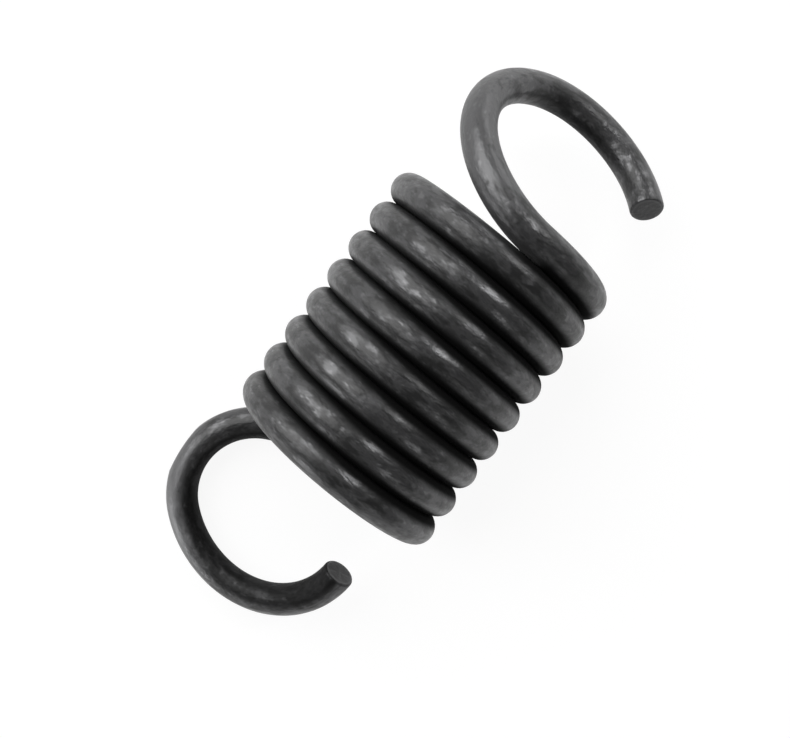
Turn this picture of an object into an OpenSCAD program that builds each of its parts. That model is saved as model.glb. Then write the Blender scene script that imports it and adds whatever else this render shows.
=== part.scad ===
// Extension spring: one length of round wire, close wound left-handed, with an open
// loop bent up from the last turn at each end.
// The axis of the coil runs along X, and the spring lies on Z = 0. It touches there along
// the underside of the coil and at the side of the lower hook, which keeps it from rolling.

/* [Wire] */
// Diameter of the wire
wire_d = 2; // [1.6:0.1:2.4]
// Edge break on the two sheared ends of the wire
end_break = 0.2; // [0.05:0.05:0.4]

/* [Coil] */
// Outer diameter of the coil
coil_od = 14; // [12:0.5:17]
// Number of turns between the two hooks
turns = 8.5; // [5.5:1:13.5]
// Gap between neighbouring turns, which only just clear each other
turn_gap = 0.02; // [0.02:0.01:0.5]
// Place round the axis where the coil starts, in degrees from the right side
start_angle = -105.5; // [-112:0.5:-98]

/* [Upper hook, in the order of its bends] */
// Turn of the wire about itself before it leaves the coil, in degrees
upper_lead_turn_angle = -36; // [-45:0.5:-30]
// Bend radius of the stretch that leaves the coil, to the middle of the wire
upper_lead_r = 5; // [4.5:0.05:6]
// Angle of that bend
upper_lead_angle = 24; // [18:0.5:28]
// Turn of the wire about itself before the loop
upper_loop_turn_angle = -7.5; // [-15:0.5:0]
// Bend radius of the loop
upper_loop_r = 6.65; // [6:0.05:7.5]
// Angle of the loop
upper_loop_angle = 116.5; // [105:0.5:125]
// Turn of the wire about itself before the tip
upper_tip_turn_angle = -0.5; // [-8:0.5:8]
// Bend radius of the tip
upper_tip_r = 6; // [5.2:0.05:7]
// Angle of the tip, which leaves the mouth of the hook open
upper_tip_angle = 106.5; // [84:0.5:114]

/* [Lower hook, in the order of its bends] */
// Turn of the wire about itself before it leaves the coil, in degrees
lower_lead_turn_angle = -131; // [-138:0.5:-120]
// Bend radius of the stretch that leaves the coil, to the middle of the wire
lower_lead_r = 7.2; // [6.2:0.05:8.5]
// Angle of that bend
lower_lead_angle = 22; // [16:0.5:28]
// Turn of the wire about itself before the loop
lower_loop_turn_angle = 39.5; // [32:0.5:45]
// Bend radius of the loop
lower_loop_r = 4.85; // [4.4:0.05:5.5]
// Angle of the loop
lower_loop_angle = 118; // [108:0.5:126]
// Turn of the wire about itself before the tip
lower_tip_turn_angle = 20.5; // [14:0.5:28]
// Bend radius of the tip
lower_tip_r = 6.25; // [5.6:0.05:7.2]
// Angle of the tip, which leaves the mouth of the hook open
lower_tip_angle = 129.5; // [104:0.5:135]

/* [Hidden] */

// Flat sides round the wire, and rings of them in a turn of the coil and in a bend
wire_sides = 16;
rings_in_turn = 28;
bend_step = 10;

wire_r = wire_d / 2;
coil_r = coil_od / 2 - wire_r;
pitch = wire_d + turn_gap;

// The bends of each hook: turn about itself, bend radius, angle
upper_bends = [
    [upper_lead_turn_angle, upper_lead_r, upper_lead_angle],
    [upper_loop_turn_angle, upper_loop_r, upper_loop_angle],
    [upper_tip_turn_angle, upper_tip_r, upper_tip_angle]
];
lower_bends = [
    [lower_lead_turn_angle, lower_lead_r, lower_lead_angle],
    [lower_loop_turn_angle, lower_loop_r, lower_loop_angle],
    [lower_tip_turn_angle, lower_tip_r, lower_tip_angle]
];

// A station on the wire holds its middle, its heading, the side it bends to, and the
// side where its ring of points begins.
function middle(s) = s[0];
function heading(s) = s[1];
function bend_side(s) = s[2];
function ring_side(s) = s[3];

function unit(v) = v / norm(v);

// Vector v turned about the unit axis
function turned(v, axis, angle) =
    v * cos(angle) + cross(axis, v) * sin(angle) + axis * (axis * v) * (1 - cos(angle));

// Station of the coil at an angle round the axis: the left-handed helix
function coil_station(angle) = let (
    inward = [0, cos(angle), -sin(angle)],
    along = [pitch / (2 * PI), coil_r * sin(angle), coil_r * cos(angle)]
) [[pitch * angle / 360, 0, 0] - coil_r * inward, unit(along), inward, inward];

// Station reached by bending the wire from station s
function bent_station(s, self_turn, radius, angle) = let (
    inward = turned(bend_side(s), heading(s), self_turn),
    hinge = cross(heading(s), inward)
) [
    middle(s) + radius * (inward - turned(inward, hinge, angle)),
    turned(heading(s), hinge, angle),
    turned(inward, hinge, angle),
    turned(ring_side(s), hinge, angle)
];

// All stations of a hook, one bend after the other
function hook_stations(s, bends, done = 0) = done == len(bends) ? [] : let (
    bend = bends[done],
    steps = ceil(bend[2] / bend_step),
    run = [for (k = [1:steps]) bent_station(s, bend[0], bend[1], bend[2] * k / steps)]
) concat(run, hook_stations(run[steps - 1], bends, done + 1));

// Same station, with the wire followed the other way
function reversed(s) = [middle(s), -heading(s), bend_side(s), ring_side(s)];

// End of the wire, past station s by the edge break
function end_station(s, side) =
    [middle(s) + side * end_break * heading(s), heading(s), bend_side(s), ring_side(s)];

coil_steps = ceil(turns * rings_in_turn);
coil = [for (k = [0:coil_steps]) coil_station(start_angle + 360 * turns * k / coil_steps)];
upper = hook_stations(coil[coil_steps], upper_bends);
lower = hook_stations(reversed(coil[0]), lower_bends);
wire = concat([for (k = [len(lower) - 1:-1:0]) reversed(lower[k])], coil, upper);
last = len(wire) - 1;
stations = concat([end_station(wire[0], -1)], wire, [end_station(wire[last], 1)]);
rings = len(stations);

// Ring of points round the wire at station s
function ring(s, radius) = [
    for (k = [0:wire_sides - 1]) let (angle = 360 * k / wire_sides)
        middle(s) + radius * turned(ring_side(s), heading(s), angle)
];

skin = [
    for (i = [0:rings - 1])
        each ring(stations[i], i == 0 || i == rings - 1 ? wire_r - end_break : wire_r)
];

// The two triangles between side k of ring i and the next ring
function quad(i, k) = let (
    a = i * wire_sides + k,
    b = i * wire_sides + (k + 1) % wire_sides,
    c = b + wire_sides,
    d = a + wire_sides
) [[a, c, b], [a, d, c]];

faces = concat(
    [[for (k = [0:wire_sides - 1]) k]],
    [for (i = [0:rings - 2], k = [0:wire_sides - 1]) each quad(i, k)],
    [[for (k = [wire_sides - 1:-1:0]) (rings - 1) * wire_sides + k]]
);

// The origin is under the middle of the spring, on the surface that it lies on
low = [for (axis = [0:2]) min([for (p = skin) p[axis]])];
high = [for (axis = [0:2]) max([for (p = skin) p[axis]])];
seat = [(low.x + high.x) / 2, (low.y + high.y) / 2, low.z];

// The whole spring, in black phosphated steel
module spring() {
    color([0.16, 0.16, 0.17])
        translate(-seat)
            polyhedron(points = skin, faces = faces, convexity = 12);
}

spring();
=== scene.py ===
# %% [markdown]
# # An extension spring in black phosphated wire
#
# The spring is one piece of round wire: eight and a half close turns, with an open loop bent up
# at each end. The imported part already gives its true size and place. This lesson dresses it with
# a smooth wire of the same route, a soft black finish, and a plain pale table to lie on.

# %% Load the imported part
import math

import bpy
from mathutils import Matrix, Quaternion, Vector


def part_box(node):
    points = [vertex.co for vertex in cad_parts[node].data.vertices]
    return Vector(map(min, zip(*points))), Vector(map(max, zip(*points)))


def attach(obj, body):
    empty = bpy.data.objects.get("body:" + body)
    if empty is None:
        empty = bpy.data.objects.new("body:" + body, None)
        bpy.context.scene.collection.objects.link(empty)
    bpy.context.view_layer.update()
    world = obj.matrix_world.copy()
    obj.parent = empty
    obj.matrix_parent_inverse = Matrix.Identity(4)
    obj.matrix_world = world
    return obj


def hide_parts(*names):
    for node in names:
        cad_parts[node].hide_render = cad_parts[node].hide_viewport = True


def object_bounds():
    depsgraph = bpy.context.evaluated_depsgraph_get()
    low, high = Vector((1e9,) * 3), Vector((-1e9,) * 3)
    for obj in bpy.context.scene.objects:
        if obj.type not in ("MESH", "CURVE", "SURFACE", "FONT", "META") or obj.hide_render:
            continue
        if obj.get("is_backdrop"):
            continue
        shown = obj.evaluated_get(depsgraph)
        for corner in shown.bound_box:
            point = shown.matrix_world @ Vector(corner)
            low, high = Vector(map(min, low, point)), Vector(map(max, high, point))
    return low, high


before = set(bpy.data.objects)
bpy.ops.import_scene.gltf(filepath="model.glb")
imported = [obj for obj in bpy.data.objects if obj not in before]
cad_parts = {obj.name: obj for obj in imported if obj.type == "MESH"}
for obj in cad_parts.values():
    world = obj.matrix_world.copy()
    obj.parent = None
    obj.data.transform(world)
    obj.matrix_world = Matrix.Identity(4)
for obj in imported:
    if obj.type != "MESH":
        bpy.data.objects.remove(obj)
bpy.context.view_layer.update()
MM = 0.001

# %% [markdown]
# ## Camera
#
# A close camera shows perspective: the upper hook, nearer to the lens, looks thicker than the
# lower one. So the camera's distance matters as much as its angle. It stands about 60 mm over
# the spring, leans a few degrees off the vertical, and is turned about its own axis so that the
# coil runs up to the right.

# %% Camera
CAMERA_PLACE = Vector((2.39, -0.44, 68.06)) * MM
LOOK_AT = Vector((-0.73, -0.26, 7.0)) * MM
CAMERA_TURN = math.radians(-53.18)
LENS = 48.09
SENSOR = 36
NEAREST, FURTHEST = 1 * MM, 5.0


def aim(place, target, up=Vector((0, 0, 1)), turn=0.0):
    """Rotation of a lamp or camera that looks from place to target, turned about its own axis."""
    back = (place - target).normalized()
    up = (up - back * up.dot(back)).normalized()
    up = Quaternion(back, turn) @ up
    return Matrix((up.cross(back), up, back)).transposed().to_quaternion()


camera_data = bpy.data.cameras.new("camera")
camera_data.lens = LENS
camera_data.sensor_width = SENSOR
camera_data.clip_start = NEAREST
camera_data.clip_end = FURTHEST
camera = bpy.data.objects.new("camera", camera_data)
camera.location = CAMERA_PLACE
camera.rotation_mode = "QUATERNION"
camera.rotation_quaternion = aim(CAMERA_PLACE, LOOK_AT, Vector((0, 1, 0)), CAMERA_TURN)
bpy.context.collection.objects.link(camera)
bpy.context.scene.camera = camera
print("camera stands", round((CAMERA_PLACE - LOOK_AT).length / MM, 1), "mm away")

# %% [markdown]
# ## The route of the wire
#
# A spring maker coils the wire first, and then bends each end over a former. The route is built
# in the same order: a helix, and then three bends for each hook. A bend is a turn of the wire
# about itself, a bend radius and an angle, so the wire stays smooth where one bend meets the
# next. This is easier to check than a free curve, because each number can be read off a real
# spring.

# %% Sizes of the wire, the coil and the bends
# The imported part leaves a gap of 0.02 mm between turns that touch on the real spring. A wire
# thicker by less than a hundredth closes it, so that no light shows through.
WIRE_R = 1.009 * MM
END_BREAK = 0.2 * MM
COIL_R = 6.0 * MM
TURNS = 8.5
PITCH = 2.02 * MM
START_ANGLE = math.radians(-105.5)
# Each bend: turn of the wire about itself, bend radius in mm, angle
UPPER_BENDS = [(-36, 5.0, 24), (-7.5, 6.65, 116.5), (-0.5, 6.0, 106.5)]
LOWER_BENDS = [(-131, 7.2, 22), (39.5, 4.85, 118), (20.5, 6.25, 129.5)]
print("coil is", round(2 * (COIL_R + WIRE_R) / MM, 1), "mm across")


# %% Stations along the wire
class Station:
    """One place on the wire: its middle, its heading, the side it bends to, and the side
    where its ring of points begins."""

    def __init__(self, middle, heading, inward, mark):
        self.middle, self.heading = middle, heading
        self.inward, self.mark = inward, mark

    def reversed(self):
        return Station(self.middle, -self.heading, self.inward, self.mark)

    def moved(self, distance):
        return Station(self.middle + self.heading * distance, self.heading, self.inward, self.mark)

    def bent(self, self_turn, radius, angle):
        inward = Quaternion(self.heading, self_turn) @ self.inward
        spin = Quaternion(self.heading.cross(inward), angle)
        middle = self.middle + (inward - spin @ inward) * radius
        return Station(middle, spin @ self.heading, spin @ inward, spin @ self.mark)


def coil_station(angle):
    """Station of the coil at an angle round its axis."""
    inward = Vector((0, math.cos(angle), -math.sin(angle)))
    along = Vector((PITCH / math.tau, COIL_R * math.sin(angle), COIL_R * math.cos(angle)))
    start = Vector((PITCH * angle / math.tau, 0, 0))
    return Station(start - inward * COIL_R, along.normalized(), inward, inward)


def hook_stations(station, bends, step):
    """Stations of a hook, one bend after the other."""
    found = []
    for self_turn, radius, angle in bends:
        steps = math.ceil(angle / step)
        for k in range(1, steps + 1):
            part = math.radians(angle) * k / steps
            found.append(station.bent(math.radians(self_turn), radius * MM, part))
        station = found[-1]
    return found


# %% The whole wire, from the tip of the lower hook to the tip of the upper one
RINGS_IN_TURN = 84
BEND_STEP = 3.5
coil_steps = round(TURNS * RINGS_IN_TURN)
coil_angle = math.tau * TURNS
coil = [coil_station(START_ANGLE + coil_angle * k / coil_steps) for k in range(coil_steps + 1)]
upper = hook_stations(coil[-1], UPPER_BENDS, BEND_STEP)
lower = hook_stations(coil[0].reversed(), LOWER_BENDS, BEND_STEP)
wire = [station.reversed() for station in reversed(lower)] + coil + upper
print(len(wire), "stations along the wire")

# %% Lengths along the wire
lengths = [0.0]
for before, after in zip(wire, wire[1:]):
    lengths.append(lengths[-1] + (after.middle - before.middle).length)
coil_start = lengths[len(lower)]
coil_end = lengths[len(lower) + coil_steps]
turn_length = (coil_end - coil_start) / TURNS
print("wire is", round(lengths[-1] / MM, 1), "mm long")
print("coil runs from", round(coil_start / MM, 1), "to", round(coil_end / MM, 1), "mm along it")


# %% Eyes of the hooks
def eye_of(stations):
    """The middle of a hook, which its pin passes through."""
    return sum((station.middle for station in stations), Vector()) / len(stations)


lower_eye, upper_eye = eye_of(lower), eye_of(upper)
print("eyes are", round((upper_eye - lower_eye).length / MM, 1), "mm apart")

# %% [markdown]
# ## The skin of the wire
#
# A bevelled curve would twist its rings where the hooks leave the coil. Here the rings are laid
# one by one from the stations, so the skin has no twist, and each point can also keep its place on
# the straight wire, before coiling. The finish reads that place, and its marks then run along
# the wire as the drawing die left them. The sheared ends are closed by smaller rings, and the
# former's shallow flat on the lower hook is pressed into the points themselves.

# %% Points round the wire
SIDES = 36
side_angles = [math.tau * k / SIDES for k in range(SIDES)]


def spokes(station):
    """Directions from the middle of the wire to the points of a ring."""
    side = station.heading.cross(station.mark)
    return [station.mark * math.cos(angle) + side * math.sin(angle) for angle in side_angles]


def eye_side(station, spoke, eye):
    """1 where the skin faces the eye of its hook, -1 where it faces away, nought on the coil."""
    if eye is None:
        return 0.0
    way = eye - station.middle
    way.z = 0
    return spoke.dot(way.normalized())


print("a flat side of the wire is", round(math.tau * WIRE_R / SIDES / MM, 2), "mm wide")

# %% The former's flat
# The former left a shallow flat on the outside of the lower hook.
FLAT_PLACE = coil_start - 9.0 * MM
FLAT_REACH = 1.4 * MM
FLAT_DEPTH = 0.12 * MM


def flat_depth(along, side):
    """Depth of the former's flat at a place on the skin."""
    reach = max(0.0, 1 - ((along - FLAT_PLACE) / FLAT_REACH) ** 2)
    return FLAT_DEPTH * reach * max(0.0, -side) ** 2


print("flat is", round(flat_depth(FLAT_PLACE, -1) / MM, 2), "mm deep")

# %% Sheared ends
END_RINGS = 4
# Rings that close the flat face, as shares of the wire's radius
FACE_RINGS = (0.55, 0.2)


def end_rings(station, way):
    """(station, radius) pairs that round the sheared edge and close the flat end."""
    pairs = []
    for k in range(1, END_RINGS + 1):
        angle = math.pi / 2 * k / END_RINGS
        inset = END_BREAK * (1 - math.cos(angle))
        pairs.append((station.moved(way * END_BREAK * math.sin(angle)), WIRE_R - inset))
    face = station.moved(way * END_BREAK)
    return pairs + [(face, WIRE_R * share) for share in FACE_RINGS]


first = end_rings(wire[0], -1)
last = end_rings(wire[-1], 1)
print(len(first) + len(last), "rings close the two ends")

# %% Rings of points
stack = first[::-1] + [(station, WIRE_R) for station in wire] + last
run = [0.0] * len(first) + lengths + [lengths[-1]] * len(last)
eyes = [lower_eye] * (len(first) + len(lower)) + [None] * len(coil)
eyes += [upper_eye] * (len(upper) + len(last))
points, dents, straight, sides = [], [], [], []
for (station, radius), along, eye in zip(stack, run, eyes):
    for angle, spoke in zip(side_angles, spokes(station)):
        side = eye_side(station, spoke, eye)
        points.append(station.middle + spoke * radius)
        dents.append(spoke * flat_depth(along, side))
        straight.append((along, radius * math.cos(angle), radius * math.sin(angle)))
        sides.append(side)
print(len(stack), "rings,", len(points), "points")


# %% Faces between the rings
def quad(i, k):
    """The face between side k of ring i and the next ring, seen from outside."""
    after = (k + 1) % SIDES
    return (i * SIDES + k, i * SIDES + after, (i + 1) * SIDES + after, (i + 1) * SIDES + k)


faces = [quad(i, k) for i in range(len(stack) - 1) for k in range(SIDES)]
last_ring = (len(stack) - 1) * SIDES
faces.append(tuple(reversed(range(SIDES))))
faces.append(tuple(range(last_ring, last_ring + SIDES)))
print(len(faces), "faces")

# %% Seat of the wire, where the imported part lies
low = Vector([min(point[axis] for point in points) for axis in range(3)])
high = Vector([max(point[axis] for point in points) for axis in range(3)])
node_low, node_high = (Vector(corner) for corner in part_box("spring"))
seat = (low + high) / 2 - (node_low + node_high) / 2
differ = (high - low) - (node_high - node_low)
print("wire and packed part differ, mm:", [round(side / MM, 3) for side in differ])

# %% The spring's mesh
mesh = bpy.data.meshes.new("spring_wire")
mesh.from_pydata([point - (seat + dent) for point, dent in zip(points, dents)], [], faces)
place = mesh.attributes.new("straight_wire", "FLOAT_VECTOR", "POINT")
place.data.foreach_set("vector", [number for spot in straight for number in spot])
mesh.attributes.new("eye_side", "FLOAT", "POINT").data.foreach_set("value", sides)
for polygon in mesh.polygons:
    polygon.use_smooth = True
mesh.update()
spring = bpy.data.objects.new("spring_wire", mesh)
bpy.context.collection.objects.link(spring)
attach(spring, "root")
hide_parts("spring")
print(spring.name, "has", len(mesh.polygons), "faces")


# %% [markdown]
# ## Writing shader maths as Python
#
# A node tree is easier to read as a formula. The small class below wraps an output socket, and
# adding or multiplying two of them adds the Math node that does it. Its one other method adds
# any other node.

# %% Socket class
class Socket:
    """An output socket that Python operators work on."""

    def __init__(self, tree, output):
        self.tree, self.output = tree, output

    @classmethod
    def node(cls, tree, kind, inputs=None, output=0, **settings):
        """Adds a node with its settings, then fills or links its inputs, and wraps one output."""
        made = tree.nodes.new(kind)
        for name, value in settings.items():
            setattr(made, name, value)
        for name, value in (inputs or {}).items():
            if isinstance(value, cls):
                tree.links.new(value.output, made.inputs[name])
            else:
                made.inputs[name].default_value = value
        return cls(tree, made.outputs[output]) if made.outputs else None

    def maths(self, operation, *values):
        values = dict(enumerate(values))
        return Socket.node(self.tree, "ShaderNodeMath", values, operation=operation)

    def __add__(self, other):
        return self.maths("ADD", self, other)

    def __sub__(self, other):
        return self.maths("SUBTRACT", self, other)

    def __rsub__(self, other):
        return self.maths("SUBTRACT", other, self)

    def __mul__(self, other):
        return self.maths("MULTIPLY", self, other)

    __radd__ = __add__
    __rmul__ = __mul__


print("operators:", "+ - *")


# %% Helpers for a new material and for a smooth rise
def new_material(name):
    material = bpy.data.materials.new(name)
    material.use_nodes = True
    material.node_tree.nodes.clear()
    return material, material.node_tree


def ramp(value, start, end):
    """Nought at start and one at end, in either order, with a smooth rise between them."""
    low, high = min(start, end), max(start, end)
    ends = {0: value, 1: low, 2: high, 3: float(start > end), 4: float(start < end)}
    return Socket.node(value.tree, "ShaderNodeMapRange", ends, interpolation_type="SMOOTHSTEP")


# %% [markdown]
# ## Black phosphated wire
#
# Phosphate is a thin crust of fine crystals, soaked with oil. It is nearly black, and it shines
# only softly. One even black would look like plastic, so the finish is built from what happened
# to the wire, with some light and shade painted in. Handling has worn the crust to dark steel in
# patches that run along the wire, with small bare spots in them. Brighter steel on the leg of each
# hook paints a highlight there. A matte black paints the shade on the flanks where the turns meet
# and in the eyes of the hooks. The sheared ends show dull steel with a brighter burr at the rim.
#
# A painted picture could show the same, but it would be blurred close up. Noise that is measured
# in millimetres on the straight wire stays sharp, and it follows every bend.

# %% Marks that run along the wire
# name: length for its width, width in mm, octaves and roughness of the noise
MARKS = {
    "swell": (1.6, 1.20, 1, 0.55),
    "patch": (2.0, 0.40, 2, 0.55),
    "grain": (1.0, 0.11, 2, 0.60),
    "speck": (1.5, 0.30, 1, 0.55),
}


def marks_on(tree, place):
    """Noise for each kind of mark, by name, measured on the straight wire."""
    found = {}
    for name, (stretch, width, octaves, rough) in MARKS.items():
        shrink = {0: place, 1: (1 / stretch, 1, 1)}
        longer = Socket.node(tree, "ShaderNodeVectorMath", shrink, operation="MULTIPLY")
        values = {"Vector": longer, "Scale": 1 / (width * MM)}
        values |= {"Detail": octaves, "Roughness": rough}
        found[name] = Socket.node(tree, "ShaderNodeTexNoise", values)
    return found


for name, row in MARKS.items():
    print(name, "is", row[1], "mm wide and", round(row[0] * row[1], 2), "mm long")


# %% Stretches of the hooks
# Each fades in, and some fade out, between two distances in mm along the wire from the coil.
LOWER_HOOK = [(1, 4)]
LOWER_LEG = [(6, 11.5), (18, 13.5)]
LOWER_BOTTOM = [(11, 18)]
UPPER_LEG = [(1, 4), (15, 9)]
UPPER_BACK = [(14, 18), (25, 21)]


def stretch_of(away, fades):
    """One on a stretch of a hook, where away is the distance from the coil."""
    shown = 1.0
    for start, end in fades:
        shown = shown * ramp(away, start * MM, end * MM)
    return shown


# %% Wear of the crust, and painted highlights on the hooks' legs
# What the larger swells add to the patches, what the upper hook's leg adds to paint a highlight
# there, and how much of the sum shows no wear and full wear
SWELL_SHARE, UPPER_HIGHLIGHT_SHARE = 0.7, 0.22
WEAR = (0.70, 1.00)
# Bare spots: from and to which height of the specks, and of the patches, they show
BARE_SPECK, BARE_PATCH = (0.56, 0.72), (0.46, 0.60)
# Painted highlight, a brighter steel patch on the lower hook's leg, from the side of its eye round
# to the outside
LOWER_HIGHLIGHT, LOWER_HIGHLIGHT_RAGGED = (0.55, -0.10), 0.4


def worn_and_bare(mark, upper_leg):
    """Masks of the patches worn to dark steel, and of the bare spots in them."""
    # On the upper hook's leg the worn patches grow, which paints a highlight there
    worn = ramp(mark["patch"] + mark["swell"] * SWELL_SHARE + upper_leg * UPPER_HIGHLIGHT_SHARE, *WEAR)
    return worn, ramp(mark["speck"], *BARE_SPECK) * ramp(mark["patch"], *BARE_PATCH) * worn


def lower_highlight_on(mark, inside, lower_leg):
    """Mask of the painted highlight on the outside of the lower hook's leg."""
    return ramp(inside + mark["patch"] * LOWER_HIGHLIGHT_RAGGED, *LOWER_HIGHLIGHT) * lower_leg


# %% Painted shade between the turns
# The flanks of the wire that meet a neighbour, as shares of its radius along the coil's axis
LOW_FLANK, HIGH_FLANK = (0.38, 0.88), (-0.40, -0.88)
# On the side of the coil where light reaches into the grooves, the painted shade is narrower:
# where that begins and is full, as shares of the coil's radius, and by which shares of the
# wire's radius the shade stands back there
LIT_SIDE = (-0.4, 0.6)
LOW_LIT, HIGH_LIT, HIGH_SPREAD = 0.2, 0.3, 0.1
RAGGED = 0.1 * MM
# The first and last turns have a neighbour on one side only, which begins within the last
# tenth of a turn
NEIGHBOUR = 0.9


def shade_between_turns(mark, along, axial, across):
    """Mask of the painted shade on the flanks that meet a neighbouring turn."""
    lit_side = ramp(across, COIL_R * LIT_SIDE[0], COIL_R * LIT_SIDE[1])
    ragged = mark["patch"] * RAGGED
    low = axial - (lit_side * LOW_LIT * WIRE_R - ragged)
    high = axial + ((lit_side * HIGH_LIT - HIGH_SPREAD) * WIRE_R - ragged)
    low = ramp(low, WIRE_R * LOW_FLANK[0], WIRE_R * LOW_FLANK[1])
    high = ramp(high, WIRE_R * HIGH_FLANK[0], WIRE_R * HIGH_FLANK[1])
    low = low * ramp(along, coil_start + turn_length * NEIGHBOUR, coil_start + turn_length)
    high = high * ramp(along, coil_end - turn_length * NEIGHBOUR, coil_end - turn_length)
    past_start = ramp(along, coil_start, coil_start + WIRE_R)
    before_end = ramp(along, coil_end, coil_end - WIRE_R)
    return (low + high) * (past_start * before_end)


# %% Painted shade in the eyes of the hooks
# From the first value of the side that faces the eye, and fully from the second
EYE_FACE, EYE_RAGGED = (0.35, 0.80), 0.3
# How much further the painted shade reaches round the lower hook's bottom, and how strong it is
BOTTOM_REACH = 0.55
LOWER_DENSE, UPPER_DENSE = 0.75, 0.6


def shade_in_the_eyes(mark, inside, below, above):
    """Mask of the painted shade in the hooks' eyes, from the distances below and above the coil.
    """
    ragged = mark["patch"] * EYE_RAGGED
    bottom = stretch_of(below, LOWER_BOTTOM) * BOTTOM_REACH
    lower = ramp(inside + bottom + ragged, *EYE_FACE) * stretch_of(below, LOWER_HOOK)
    upper = ramp(inside + ragged, *EYE_FACE) * stretch_of(above, UPPER_BACK)
    return lower * LOWER_DENSE + upper * UPPER_DENSE


# %% Sheared ends of the wire
# The cut face lies within these shares of the wire's radius, and its burr beyond these.
CUT_FACE, CUT_BURR = (0.93, 0.86), (0.72, 0.86)


def cut_and_burr(radial):
    """Masks of the sheared face and of the burr along its rim, from the distance to the middle."""
    cut = ramp(radial, WIRE_R * CUT_FACE[0], WIRE_R * CUT_FACE[1])
    return cut, cut * ramp(radial, WIRE_R * CUT_BURR[0], WIRE_R * CUT_BURR[1])


# %% Greys of the finish
CRUST = 0.010
# On the next two lines, the second grey is brighter steel that paints a highlight on a hook's leg:
# the upper hook's, then the lower hook's
WORN_STEEL, UPPER_HIGHLIGHT_STEEL = 0.112, 0.125
BARE_STEEL, LOWER_HIGHLIGHT_STEEL = 0.16, 0.24
CUT_STEEL, BURR = 0.055, 0.110
# A matte black, mixed in as painted shade between the turns and in the hooks' eyes
PAINTED_SHADE_BLACK = (0.004, 0.004, 0.004, 1)
# Steel and crust are slightly blue.
BLUE = 1.02


def mixed(mask, without, with_mask):
    """A colour or grey where the mask is nought, and another where it is one."""
    pair = [(grey, grey, grey * BLUE, 1) if isinstance(grey, float) else grey
            for grey in (without, with_mask)]
    values = {0: mask, 6: pair[0], 7: pair[1]}
    return Socket.node(mask.tree, "ShaderNodeMix", values, output=2, data_type="RGBA")


def greys(worn, bare, lower_highlight, cut, burr, upper_leg):
    """Colour of the wire, one layer over the other, with highlights painted on the hooks' legs."""
    color = mixed(worn, CRUST, mixed(upper_leg, WORN_STEEL, UPPER_HIGHLIGHT_STEEL))
    color = mixed(bare, color, BARE_STEEL)
    color = mixed(lower_highlight, color, LOWER_HIGHLIGHT_STEEL)
    color = mixed(cut, color, CUT_STEEL)
    return mixed(burr, color, BURR)


# %% Shine and relief of the finish
WORN_METAL = 0.8
# The crust's roughness, and what each kind of place adds to it or takes away
CRUST_ROUGH, GRAIN_ROUGH, LEG_ROUGH, CUT_ROUGH = 0.38, 0.04, 0.10, 0.15
WORN_SMOOTH = 0.08
# Depths of the marks against the swell, and the relief of the whole
PATCH_DEPTH, SPECK_DEPTH, GRAIN_DEPTH = 1.6, 0.35, 0.15
RELIEF, RELIEF_STRENGTH = 0.05 * MM, 0.7


def relief_of(tree, mark):
    """Bump of the crust, whose worn patches lie deeper than the crust round them."""
    depth = mark["swell"] + mark["patch"] * PATCH_DEPTH
    depth = depth + mark["speck"] * SPECK_DEPTH + mark["grain"] * GRAIN_DEPTH
    values = {"Strength": RELIEF_STRENGTH, "Distance": RELIEF, "Height": depth}
    return Socket.node(tree, "ShaderNodeBump", values, invert=True)


# %% The finish put together
def phosphated_wire():
    material, tree = new_material("phosphated_wire")
    place = Socket.node(tree, "ShaderNodeAttribute", attribute_name="straight_wire", output=1)
    inside = Socket.node(tree, "ShaderNodeAttribute", attribute_name="eye_side", output="Fac")
    spot = Socket.node(tree, "ShaderNodeTexCoord", output="Object")
    along = Socket.node(tree, "ShaderNodeSeparateXYZ", {0: place}, output="X")
    axial = Socket.node(tree, "ShaderNodeSeparateXYZ", {0: place}, output="Z")
    across = Socket.node(tree, "ShaderNodeSeparateXYZ", {0: spot}, output="Y")
    round_wire = {0: place, 1: (0, 1, 1)}
    section = Socket.node(tree, "ShaderNodeVectorMath", round_wire, operation="MULTIPLY")
    radial = Socket.node(
        tree, "ShaderNodeVectorMath", {0: section}, output="Value", operation="LENGTH"
    )
    below, above = coil_start - along, along - coil_end
    # The upper hook's leg, which gets brighter steel as a painted highlight, and more roughness
    upper_leg = stretch_of(above, UPPER_LEG)

    mark = marks_on(tree, place)
    worn, bare = worn_and_bare(mark, upper_leg)
    # A brighter steel patch on the lower hook's leg paints a highlight there
    lower_highlight = lower_highlight_on(mark, inside, stretch_of(below, LOWER_LEG))
    cut, burr = cut_and_burr(radial)
    # Painted shade: a matte black mixed over the flanks where the turns meet and over the insides
    # of the hooks' eyes
    painted_shade = shade_between_turns(mark, along, axial, across)
    painted_shade = painted_shade + shade_in_the_eyes(mark, inside, below, above) * (1 - cut)

    rough = CRUST_ROUGH - worn * WORN_SMOOTH + mark["grain"] * GRAIN_ROUGH
    values = {
        "Base Color": greys(worn, bare, lower_highlight, cut, burr, upper_leg),
        "Metallic": (worn * WORN_METAL * (1 - lower_highlight) + lower_highlight) * (1 - cut),
        "Roughness": rough + (upper_leg + lower_highlight) * LEG_ROUGH + cut * CUT_ROUGH,
        "Normal": relief_of(tree, mark),
        "Specular IOR Level": 0.62,
        "Sheen Weight": 0.16,
        "Sheen Roughness": 0.5,
    }
    satin = Socket.node(tree, "ShaderNodeBsdfPrincipled", values)
    values = {"Base Color": PAINTED_SHADE_BLACK, "Roughness": 0.9, "Specular IOR Level": 0.1}
    painted_shade_bsdf = Socket.node(tree, "ShaderNodeBsdfPrincipled", values)
    shader = Socket.node(tree, "ShaderNodeMixShader", {0: painted_shade, 1: satin, 2: painted_shade_bsdf})
    Socket.node(tree, "ShaderNodeOutputMaterial", {"Surface": shader})
    return material


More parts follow.
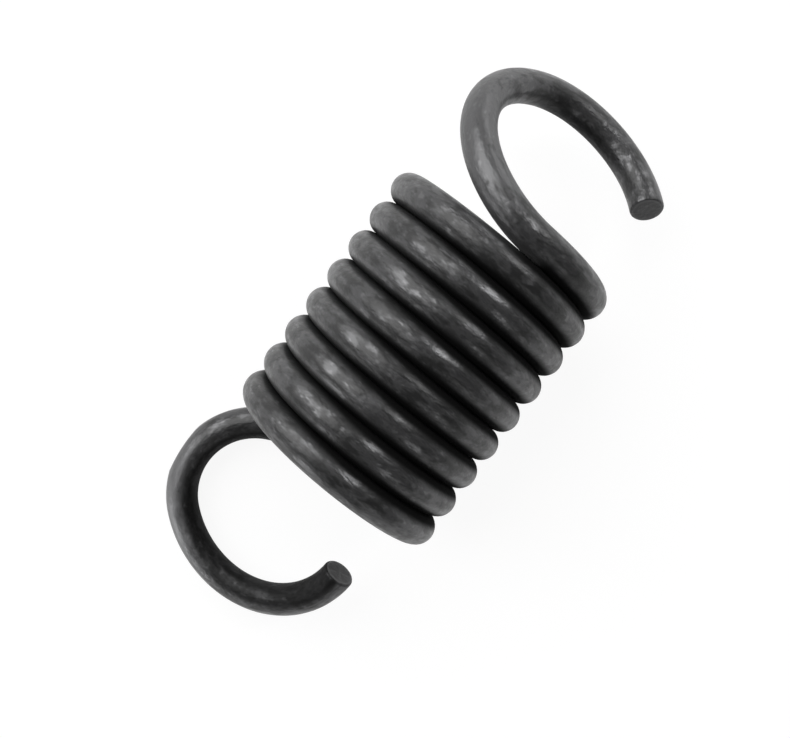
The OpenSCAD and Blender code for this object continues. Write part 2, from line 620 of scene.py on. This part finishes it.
spring.data.materials.append(phosphated_wire())
print("finish has", len(spring.data.materials[0].node_tree.nodes), "nodes")

# %% [markdown]
# ## Table
#
# The spring lies on a plain white sheet. It could be a curved backdrop, but the camera looks
# down on it, so a flat sheet fills the picture. Real light falls on it as on paper, which gives
# the soft shadow under the spring. The camera sees it nearly as plain white, and further out
# quite white. The wire mirrors only a share of that white, so that its flanks stay black.

# %% Table
TABLE_SIZE = 4.0
PAPER = (0.8, 0.8, 0.8, 1)
SHEET_GLOW = 1.08
MIRRORED_SHARE = 0.4
# How white the sheet looks under the spring, and between which distances it grows quite white
NEAR_WHITE = 0.85
NEAR, FAR = 0.05, 0.25


def white_to_the_eye(tree, mirrored):
    """One for the rays that show what lies behind the spring, the share mirrored for those that
    show it in a reflection, and nought for the rays that light the spring."""
    seen = Socket.node(tree, "ShaderNodeLightPath", output="Is Camera Ray")
    glossy = Socket.node(tree, "ShaderNodeLightPath", output="Is Glossy Ray")
    through = Socket.node(tree, "ShaderNodeLightPath", output="Is Transmission Ray")
    return seen.maths("MAXIMUM", seen.maths("MAXIMUM", seen, glossy * mirrored), through)


def white_sheet():
    material, tree = new_material("white_sheet")
    paper = Socket.node(tree, "ShaderNodeBsdfDiffuse", {"Color": PAPER})
    glow = {"Color": (1, 1, 1, 1), "Strength": SHEET_GLOW}
    white = Socket.node(tree, "ShaderNodeEmission", glow)
    spot = Socket.node(tree, "ShaderNodeTexCoord", output="Object")
    away = Socket.node(tree, "ShaderNodeVectorMath", {0: spot}, output="Value", operation="LENGTH")
    grown = NEAR_WHITE + ramp(away, NEAR, FAR) * (1 - NEAR_WHITE)
    clear = white_to_the_eye(tree, MIRRORED_SHARE) * grown
    shader = Socket.node(tree, "ShaderNodeMixShader", {0: clear, 1: paper, 2: white})
    Socket.node(tree, "ShaderNodeOutputMaterial", {"Surface": shader})
    return material


bpy.ops.mesh.primitive_plane_add(size=TABLE_SIZE, location=(0, 0, 0))
table = bpy.context.active_object
table.name = "table"
table.data.materials.append(white_sheet())
table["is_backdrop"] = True
print("table is", TABLE_SIZE, "m wide")

# %% [markdown]
# ## Light
#
# Dark satin wire shows little but its reflections, so the lamps decide how it looks. Each point
# of a smooth wire mirrors one direction, so the bright places on a real spring tell where its
# lamps stood. A wide softbox over the left side gives the broad gleam on every turn, a narrow
# strip in front gives the row of small glints, and three faint boxes light the flanks. A lamp's
# power is worked out from the share that it adds to a white sheet under the spring. The shares
# come to about one, so colours render about as they are written.

# %% Light
LAMP_DISTANCE = 0.25
LAMP_TARGET = Vector((0, 0, 0.007))
LAMPS = [
    # name, azimuth, elevation, width, height, share of the sheet's brightness
    ("key_box", 80, 46, 0.33, 0.24, 0.88),
    ("front_strip", 336, 38, 0.03, 0.14, 0.17),
    ("front_left_box", 230, 31, 0.06, 0.08, 0.03),
    ("low_left_box", 155, 10, 0.14, 0.10, 0.025),
    ("low_right_box", 5, 10, 0.08, 0.10, 0.02),
]


def lamp(name, azimuth, elevation, width, height, share):
    """A rectangular softbox at a fixed distance, whose power follows from its share."""
    around, above = math.radians(azimuth), math.radians(elevation)
    level = math.cos(above)
    way = Vector((level * math.cos(around), level * math.sin(around), math.sin(above)))
    data = bpy.data.lights.new(name, "AREA")
    data.shape = "RECTANGLE"
    data.size, data.size_y = width, height
    data.energy = share * (math.pi * LAMP_DISTANCE) ** 2 / math.sin(above)
    made = bpy.data.objects.new(name, data)
    made.location = LAMP_TARGET + way * LAMP_DISTANCE
    made.rotation_mode = "QUATERNION"
    made.rotation_quaternion = aim(made.location, LAMP_TARGET)
    made.visible_camera = False
    bpy.context.collection.objects.link(made)
    return made


for row in LAMPS:
    made = lamp(*row)
    print(made.name, round(made.data.energy, 3), "W")
print("shares come to", round(sum(row[-1] for row in LAMPS), 2))

# %% [markdown]
# ## Room
#
# Round the table stand low white walls, and above them the room is dark. The wire mirrors the
# walls and the table along its flanks, and the dark room along its back, which keeps it black.
# Real walls would need more lamps and more rays, so the room is a world that looks different to
# each kind of ray. The camera sees white all round from every side, as if the spring stood
# before white paper.

# %% Room
# The walls' height and the height over which they fade, as sines, and the dark room's strength
WALL_TOP, WALL_FADE = 0.04, 0.06
CEILING = 0.02


def white_room():
    """A world that is white to the camera, and to reflections only up to the walls' height."""
    room = bpy.data.worlds.new("room")
    room.use_nodes = True
    tree = room.node_tree
    tree.nodes.clear()
    way = Socket.node(tree, "ShaderNodeTexCoord", output="Generated")
    height = Socket.node(tree, "ShaderNodeSeparateXYZ", {0: way}, output="Z")
    walls = ramp(height, WALL_TOP + WALL_FADE, WALL_TOP)
    seen = Socket.node(tree, "ShaderNodeLightPath", output="Is Camera Ray")
    clear = seen.maths("MAXIMUM", seen, walls * white_to_the_eye(tree, 1.0))
    values = {"Color": (1, 1, 1, 1), "Strength": clear * (1 - CEILING) + CEILING}
    shader = Socket.node(tree, "ShaderNodeBackground", values)
    Socket.node(tree, "ShaderNodeOutputWorld", {"Surface": shader})
    return room


bpy.context.scene.world = white_room()
bpy.context.scene.view_settings.view_transform = "Standard"
print("walls reach", round(math.degrees(math.asin(WALL_TOP + WALL_FADE)), 1), "degrees up")

# %% [markdown]
# ## Sizes for checking
#
# The dressed part's box is written out.

# %% Sizes
low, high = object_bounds()
print("dressed part, mm:", [round(side / MM, 2) for side in high - low])
